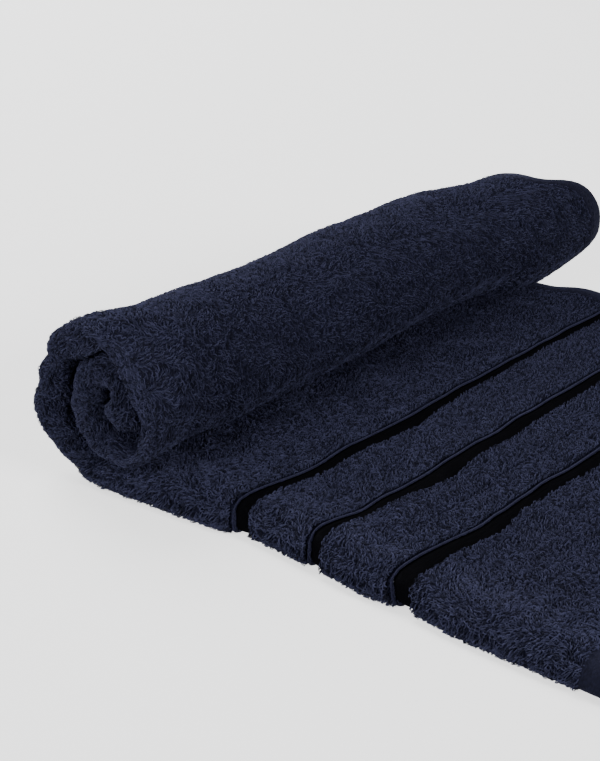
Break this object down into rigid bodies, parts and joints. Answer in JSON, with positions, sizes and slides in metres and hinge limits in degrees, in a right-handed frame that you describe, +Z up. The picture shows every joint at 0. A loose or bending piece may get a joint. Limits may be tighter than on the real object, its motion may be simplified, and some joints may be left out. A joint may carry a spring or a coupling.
{
  "type": "bath towel",
  "caption": "Terry bath towel folded in four and rolled up from its folded end, with its loose end and satin bands lying flat in front of the roll.",
  "frame": {"origin": "middle of the towel's box, on the surface that it lies on", "axes": "+X along the roll, from the folded side to the side where the towel's edges lie; +Y from the loose end towards the roll; +Z up"},
  "size_m": [0.39, 0.3644, 0.0889],
  "materials": {
    "pile": "navy looped terry pile, matt",
    "rim": "navy flat-woven cord line, matt",
    "band": "black satin weave, soft sheen",
    "header": "navy plain weave, matt",
    "hem": "navy plain weave, turned and sewn",
    "thread": "navy sewing thread, slight sheen"
  },
  "bodies": {
    "roll": {"outer_satin_band_1": "band", "outer_band_rim_1": "rim", "outer_pile_under_roll": "pile", "outer_rolled_first_turn": "pile", "outer_rolled_second_turn": "pile", "inner_satin_band_1": "band", "inner_band_rim_1": "rim", "inner_pile_under_roll": "pile", "inner_rolled_first_turn": "pile", "inner_rolled_second_turn": "pile", "crosswise_fold": "pile"},
    "flap_1": {"outer_satin_band_2": "band", "outer_band_rim_2": "rim", "outer_pile_panel_1": "pile", "inner_satin_band_2": "band", "inner_band_rim_2": "rim", "inner_pile_panel_1": "pile"},
    "flap_2": {"outer_satin_band_3": "band", "outer_band_rim_3": "rim", "outer_pile_panel_2": "pile", "inner_satin_band_3": "band", "inner_band_rim_3": "rim", "inner_pile_panel_2": "pile"},
    "flap_3": {"outer_end_hem": "hem", "outer_hem_stitching": "thread", "outer_end_header": "header", "outer_pile_panel_3": "pile", "inner_end_hem": "hem", "inner_hem_stitching": "thread", "inner_end_header": "header", "inner_pile_panel_3": "pile"}
  },
  "joints": [
    {"name": "band_1_fold", "type": "hinge", "parent": "roll", "child": "flap_1", "pos_m": [0, 0.05278, 0.0153], "axis": [-1, 0, 0], "range_deg": [0, 45]},
    {"name": "band_2_fold", "type": "hinge", "parent": "flap_1", "child": "flap_2", "pos_m": [0, 0.00378, 0.0153], "axis": [-1, 0, 0], "range_deg": [0, 45]},
    {"name": "band_3_fold", "type": "hinge", "parent": "flap_2", "child": "flap_3", "pos_m": [0, -0.04822, 0.0153], "axis": [-1, 0, 0], "range_deg": [0, 90]}
  ]
}
